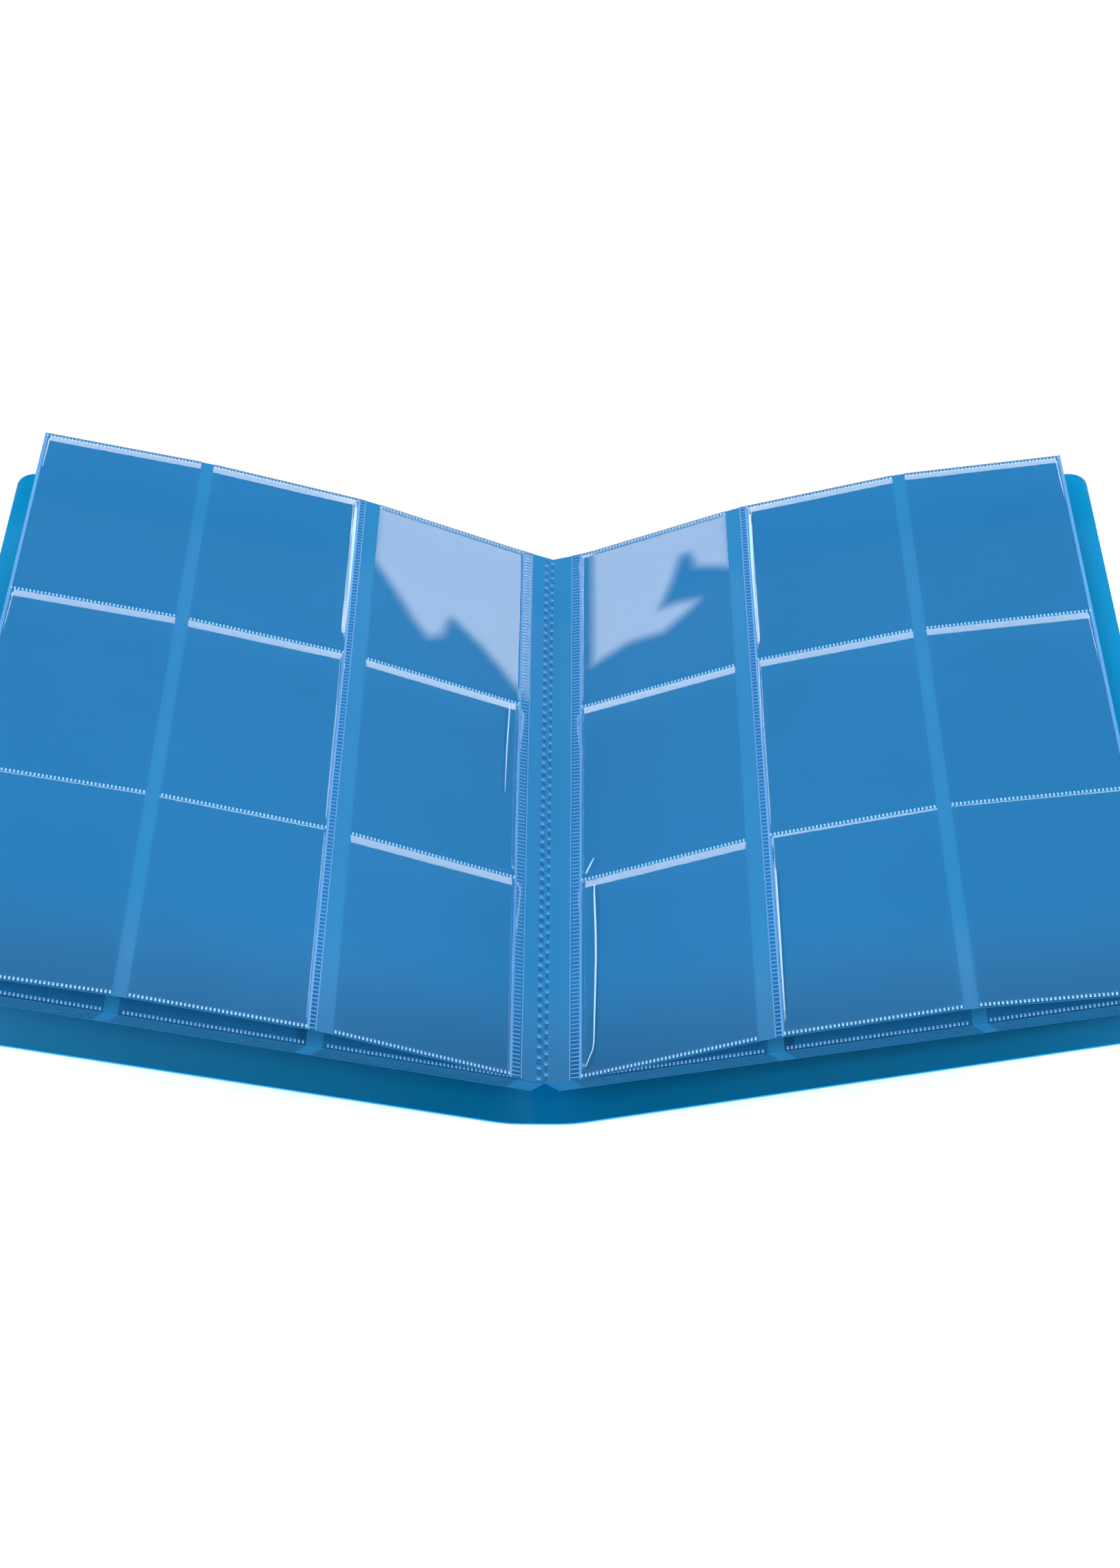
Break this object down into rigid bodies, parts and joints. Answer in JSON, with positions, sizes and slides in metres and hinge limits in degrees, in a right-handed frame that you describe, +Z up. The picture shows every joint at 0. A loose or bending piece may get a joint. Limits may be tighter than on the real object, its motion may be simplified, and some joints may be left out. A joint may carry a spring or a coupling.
{
  "type": "card pocket album",
  "caption": "Soft side-loading trading card album lying open, with pocket leaves bound at the spine, covers that close and pocket films that lift.",
  "frame": {"origin": "middle of the spine's outer face, at the bottom of the bounding box", "axes": "+X from the front cover's side to the back cover's side, +Y towards the head of the pages, +Z up out of the open spread"},
  "size_m": [0.496, 0.305, 0.0992],
  "materials": {
    "cover_sheet": "teal-blue polypropylene sheet, fine satin texture",
    "leaf_sheet": "opaque blue polypropylene sheet, satin",
    "pocket_film": "clear glossy polypropylene film"
  },
  "bodies": {
    "spine": {"spine_panel": "cover_sheet", "binding_strip": "leaf_sheet", "leaf_tabs": "leaf_sheet"},
    "front_cover": {"front_cover": "cover_sheet"},
    "back_cover": {"back_cover": "cover_sheet"},
    "left_leaf_01": {"left_leaf_01_sheet": "leaf_sheet", "left_leaf_01_back_pockets": "pocket_film"},
    "left_leaf_02": {"left_leaf_02_sheet": "leaf_sheet", "left_leaf_02_pockets": "pocket_film"},
    "left_leaf_03": {"left_leaf_03_sheet": "leaf_sheet", "left_leaf_03_pockets": "pocket_film"},
    "left_leaf_04": {"left_leaf_04_sheet": "leaf_sheet", "left_leaf_04_pockets": "pocket_film"},
    "left_leaf_05": {"left_leaf_05_sheet": "leaf_sheet", "left_leaf_05_pockets": "pocket_film"},
    "left_leaf_06": {"left_leaf_06_sheet": "leaf_sheet", "left_leaf_06_pockets": "pocket_film"},
    "left_leaf_07": {"left_leaf_07_sheet": "leaf_sheet", "left_leaf_07_pockets": "pocket_film"},
    "left_leaf_08": {"left_leaf_08_sheet": "leaf_sheet", "left_leaf_08_pockets": "pocket_film"},
    "left_leaf_09": {"left_leaf_09_sheet": "leaf_sheet", "left_leaf_09_pockets": "pocket_film"},
    "left_leaf_10": {"left_leaf_10_sheet": "leaf_sheet", "left_leaf_10_pockets": "pocket_film"},
    "right_leaf_01": {"right_leaf_01_sheet": "leaf_sheet", "right_leaf_01_back_pockets": "pocket_film"},
    "right_leaf_02": {"right_leaf_02_sheet": "leaf_sheet", "right_leaf_02_pockets": "pocket_film"},
    "right_leaf_03": {"right_leaf_03_sheet": "leaf_sheet", "right_leaf_03_pockets": "pocket_film"},
    "right_leaf_04": {"right_leaf_04_sheet": "leaf_sheet", "right_leaf_04_pockets": "pocket_film"},
    "right_leaf_05": {"right_leaf_05_sheet": "leaf_sheet", "right_leaf_05_pockets": "pocket_film"},
    "right_leaf_06": {"right_leaf_06_sheet": "leaf_sheet", "right_leaf_06_pockets": "pocket_film"},
    "right_leaf_07": {"right_leaf_07_sheet": "leaf_sheet", "right_leaf_07_pockets": "pocket_film"},
    "right_leaf_08": {"right_leaf_08_sheet": "leaf_sheet", "right_leaf_08_pockets": "pocket_film"},
    "right_leaf_09": {"right_leaf_09_sheet": "leaf_sheet", "right_leaf_09_pockets": "pocket_film"},
    "right_leaf_10": {"right_leaf_10_sheet": "leaf_sheet", "right_leaf_10_pockets": "pocket_film"},
    "left_leaf_01_inner_film": {"left_leaf_01_inner_film": "pocket_film"},
    "left_leaf_01_middle_film": {"left_leaf_01_middle_film": "pocket_film"},
    "left_leaf_01_outer_film": {"left_leaf_01_outer_film": "pocket_film"},
    "right_leaf_01_inner_film": {"right_leaf_01_inner_film": "pocket_film"},
    "right_leaf_01_middle_film": {"right_leaf_01_middle_film": "pocket_film"},
    "right_leaf_01_outer_film": {"right_leaf_01_outer_film": "pocket_film"}
  },
  "joints": [
    {"name": "front_cover_hinge", "type": "hinge", "parent": "spine", "child": "front_cover", "pos_m": [-0.01325, 0, 0.0005], "axis": [0, 1, 0], "range_deg": [-16.5, 72]},
    {"name": "back_cover_hinge", "type": "hinge", "parent": "spine", "child": "back_cover", "pos_m": [0.01325, 0, 0.0005], "axis": [0, -1, 0], "range_deg": [-16.5, 72]},
    {"name": "left_leaf_01_hinge", "type": "hinge", "parent": "spine", "child": "left_leaf_01", "pos_m": [-0.0007, 0, 0.0202], "axis": [0, 1, 0], "range_deg": [-16.16, 70.5]},
    {"name": "left_leaf_02_hinge", "type": "hinge", "parent": "spine", "child": "left_leaf_02", "pos_m": [-0.00128, 0, 0.0196], "axis": [0, 1, 0], "range_deg": [-16.46, 71.8]},
    {"name": "left_leaf_03_hinge", "type": "hinge", "parent": "spine", "child": "left_leaf_03", "pos_m": [-0.00186, 0, 0.019], "axis": [0, 1, 0], "range_deg": [-16.46, 71.8]},
    {"name": "left_leaf_04_hinge", "type": "hinge", "parent": "spine", "child": "left_leaf_04", "pos_m": [-0.00244, 0, 0.0184], "axis": [0, 1, 0], "range_deg": [-16.46, 71.8]},
    {"name": "left_leaf_05_hinge", "type": "hinge", "parent": "spine", "child": "left_leaf_05", "pos_m": [-0.00302, 0, 0.0178], "axis": [0, 1, 0], "range_deg": [-16.46, 71.8]},
    {"name": "left_leaf_06_hinge", "type": "hinge", "parent": "spine", "child": "left_leaf_06", "pos_m": [-0.0036, 0, 0.0172], "axis": [0, 1, 0], "range_deg": [-16.46, 71.8]},
    {"name": "left_leaf_07_hinge", "type": "hinge", "parent": "spine", "child": "left_leaf_07", "pos_m": [-0.00418, 0, 0.0166], "axis": [0, 1, 0], "range_deg": [-16.46, 71.8]},
    {"name": "left_leaf_08_hinge", "type": "hinge", "parent": "spine", "child": "left_leaf_08", "pos_m": [-0.00476, 0, 0.016], "axis": [0, 1, 0], "range_deg": [-16.46, 71.8]},
    {"name": "left_leaf_09_hinge", "type": "hinge", "parent": "spine", "child": "left_leaf_09", "pos_m": [-0.00534, 0, 0.0154], "axis": [0, 1, 0], "range_deg": [-16.46, 71.8]},
    {"name": "left_leaf_10_hinge", "type": "hinge", "parent": "spine", "child": "left_leaf_10", "pos_m": [-0.00592, 0, 0.0148], "axis": [0, 1, 0], "range_deg": [-16.46, 71.8]},
    {"name": "right_leaf_02_hinge", "type": "hinge", "parent": "spine", "child": "right_leaf_02", "pos_m": [0.00128, 0, 0.0196], "axis": [0, -1, 0], "range_deg": [-16.75, 73.1]},
    {"name": "right_leaf_03_hinge", "type": "hinge", "parent": "spine", "child": "right_leaf_03", "pos_m": [0.00186, 0, 0.019], "axis": [0, -1, 0], "range_deg": [-16.75, 73.1]},
    {"name": "right_leaf_04_hinge", "type": "hinge", "parent": "spine", "child": "right_leaf_04", "pos_m": [0.00244, 0, 0.0184], "axis": [0, -1, 0], "range_deg": [-16.75, 73.1]},
    {"name": "right_leaf_05_hinge", "type": "hinge", "parent": "spine", "child": "right_leaf_05", "pos_m": [0.00302, 0, 0.0178], "axis": [0, -1, 0], "range_deg": [-16.75, 73.1]},
    {"name": "right_leaf_06_hinge", "type": "hinge", "parent": "spine", "child": "right_leaf_06", "pos_m": [0.0036, 0, 0.0172], "axis": [0, -1, 0], "range_deg": [-16.75, 73.1]},
    {"name": "right_leaf_07_hinge", "type": "hinge", "parent": "spine", "child": "right_leaf_07", "pos_m": [0.00418, 0, 0.0166], "axis": [0, -1, 0], "range_deg": [-16.75, 73.1]},
    {"name": "right_leaf_08_hinge", "type": "hinge", "parent": "spine", "child": "right_leaf_08", "pos_m": [0.00476, 0, 0.016], "axis": [0, -1, 0], "range_deg": [-16.75, 73.1]},
    {"name": "right_leaf_09_hinge", "type": "hinge", "parent": "spine", "child": "right_leaf_09", "pos_m": [0.00534, 0, 0.0154], "axis": [0, -1, 0], "range_deg": [-16.75, 73.1]},
    {"name": "right_leaf_10_hinge", "type": "hinge", "parent": "spine", "child": "right_leaf_10", "pos_m": [0.00592, 0, 0.0148], "axis": [0, -1, 0], "range_deg": [-16.75, 73.1]},
    {"name": "right_leaf_01_turn", "type": "hinge", "parent": "right_leaf_02", "child": "right_leaf_01", "pos_m": [0.0007, 0, 0.0202], "axis": [0, 1, 0], "range_deg": [-128, 0]},
    {"name": "left_leaf_01_inner_film_lift", "type": "hinge", "parent": "left_leaf_01", "child": "left_leaf_01_inner_film", "pos_m": [-0.0101, 0, 0.02363], "axis": [0, -1, 0], "range_deg": [-4, 0]},
    {"name": "left_leaf_01_middle_film_lift", "type": "hinge", "parent": "left_leaf_01", "child": "left_leaf_01_middle_film", "pos_m": [-0.09028, 0, 0.05123], "axis": [0, -1, 0], "range_deg": [-4, 0]},
    {"name": "left_leaf_01_outer_film_lift", "type": "hinge", "parent": "left_leaf_01", "child": "left_leaf_01_outer_film", "pos_m": [-0.22946, 0, 0.09916], "axis": [0, 1, 0], "range_deg": [-4, 0]},
    {"name": "right_leaf_01_inner_film_lift", "type": "hinge", "parent": "right_leaf_01", "child": "right_leaf_01_inner_film", "pos_m": [0.01024, 0, 0.0232], "axis": [0, 1, 0], "range_deg": [-4, 0]},
    {"name": "right_leaf_01_middle_film_lift", "type": "hinge", "parent": "right_leaf_01", "child": "right_leaf_01_middle_film", "pos_m": [0.09159, 0, 0.04714], "axis": [0, 1, 0], "range_deg": [-4, 0]},
    {"name": "right_leaf_01_outer_film_lift", "type": "hinge", "parent": "right_leaf_01", "child": "right_leaf_01_outer_film", "pos_m": [0.2328, 0, 0.0887], "axis": [0, -1, 0], "range_deg": [-4, 0]}
  ],
  "couplings": [
    {"joint": "left_leaf_01_hinge", "follows": "front_cover_hinge", "ratio": 0.97917},
    {"joint": "left_leaf_02_hinge", "follows": "front_cover_hinge", "ratio": 0.99722},
    {"joint": "left_leaf_03_hinge", "follows": "front_cover_hinge", "ratio": 0.99722},
    {"joint": "left_leaf_04_hinge", "follows": "front_cover_hinge", "ratio": 0.99722},
    {"joint": "left_leaf_05_hinge", "follows": "front_cover_hinge", "ratio": 0.99722},
    {"joint": "left_leaf_06_hinge", "follows": "front_cover_hinge", "ratio": 0.99722},
    {"joint": "left_leaf_07_hinge", "follows": "front_cover_hinge", "ratio": 0.99722},
    {"joint": "left_leaf_08_hinge", "follows": "front_cover_hinge", "ratio": 0.99722},
    {"joint": "left_leaf_09_hinge", "follows": "front_cover_hinge", "ratio": 0.99722},
    {"joint": "left_leaf_10_hinge", "follows": "front_cover_hinge", "ratio": 0.99722},
    {"joint": "right_leaf_02_hinge", "follows": "back_cover_hinge", "ratio": 1.0153},
    {"joint": "right_leaf_03_hinge", "follows": "back_cover_hinge", "ratio": 1.0153},
    {"joint": "right_leaf_04_hinge", "follows": "back_cover_hinge", "ratio": 1.0153},
    {"joint": "right_leaf_05_hinge", "follows": "back_cover_hinge", "ratio": 1.0153},
    {"joint": "right_leaf_06_hinge", "follows": "back_cover_hinge", "ratio": 1.0153},
    {"joint": "right_leaf_07_hinge", "follows": "back_cover_hinge", "ratio": 1.0153},
    {"joint": "right_leaf_08_hinge", "follows": "back_cover_hinge", "ratio": 1.0153},
    {"joint": "right_leaf_09_hinge", "follows": "back_cover_hinge", "ratio": 1.0153},
    {"joint": "right_leaf_10_hinge", "follows": "back_cover_hinge", "ratio": 1.0153}
  ]
}
